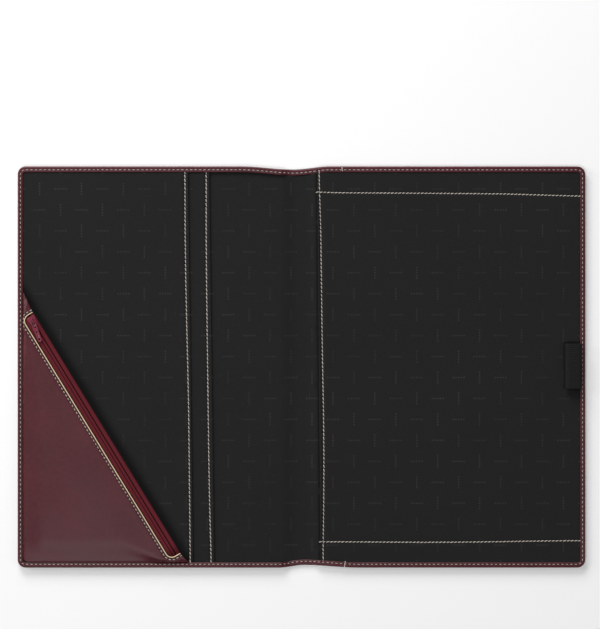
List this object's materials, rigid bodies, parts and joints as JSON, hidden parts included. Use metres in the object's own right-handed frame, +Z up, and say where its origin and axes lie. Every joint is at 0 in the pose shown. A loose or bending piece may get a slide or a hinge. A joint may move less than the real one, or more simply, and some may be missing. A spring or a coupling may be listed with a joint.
{
  "type": "zip pocket document folio",
  "caption": "Open leather folio: two stiff covers on a soft spine, document pockets, a zipped corner pocket, a writing pad pocket and a pen loop.",
  "frame": {"origin": "on the table, under the middle of the spine", "axes": "+X across the open folio to the pad side, +Y to its head, +Z up off the table, out of the pages"},
  "size_m": [0.488, 0.345, 0.0101],
  "materials": {
    "leather": "smooth burgundy calf, stitched in cream",
    "lining": "black woven lining cloth with a faint tone on tone motif",
    "board": "plain grey stiffener",
    "elastic": "black ribbed elastic webbing",
    "piping": "cream edging",
    "zip_tape": "burgundy woven tape",
    "zip_coil": "dark burgundy nylon",
    "enamel": "burgundy enamel, satin"
  },
  "bodies": {
    "back_cover": {"back_leather": "leather", "back_board": "board", "back_lining": "lining", "pad_pocket_panel": "lining", "pen_loop": "elastic"},
    "spine": {"spine_leather": "leather", "spine_lining": "lining"},
    "front_cover": {"front_leather": "leather", "front_board": "board", "front_lining": "lining", "wide_pocket_panel": "lining", "narrow_pocket_panel": "lining", "corner_pocket_back": "lining", "corner_pocket_leather": "leather", "corner_pocket_piping": "piping", "zip_inner_tape": "zip_tape", "zip_outer_tape": "zip_tape", "zip_inner_coil": "zip_coil", "zip_outer_coil": "zip_coil"},
    "slider": {"zip_slider": "enamel"},
    "pull": {"zip_pull": "enamel"}
  },
  "joints": [
    {"name": "spine_hinge", "type": "hinge", "parent": "back_cover", "child": "spine", "pos_m": [0.011, 0, 0.0005], "axis": [0, 1, 0], "range_deg": [0, 90]},
    {"name": "front_hinge", "type": "hinge", "parent": "spine", "child": "front_cover", "pos_m": [-0.011, 0, 0.0005], "axis": [0, 1, 0], "range_deg": [0, 90]},
    {"name": "zip_slide", "type": "slide", "parent": "front_cover", "child": "slider", "axis": [0.5223, -0.8527, 0], "range_m": [0, 0.2289]},
    {"name": "pull_swing", "type": "hinge", "parent": "slider", "child": "pull", "pos_m": [-0.23036, 0.03929, 0.00816], "axis": [-0.9367, -0.35, 0], "range_deg": [0, 170]}
  ]
}
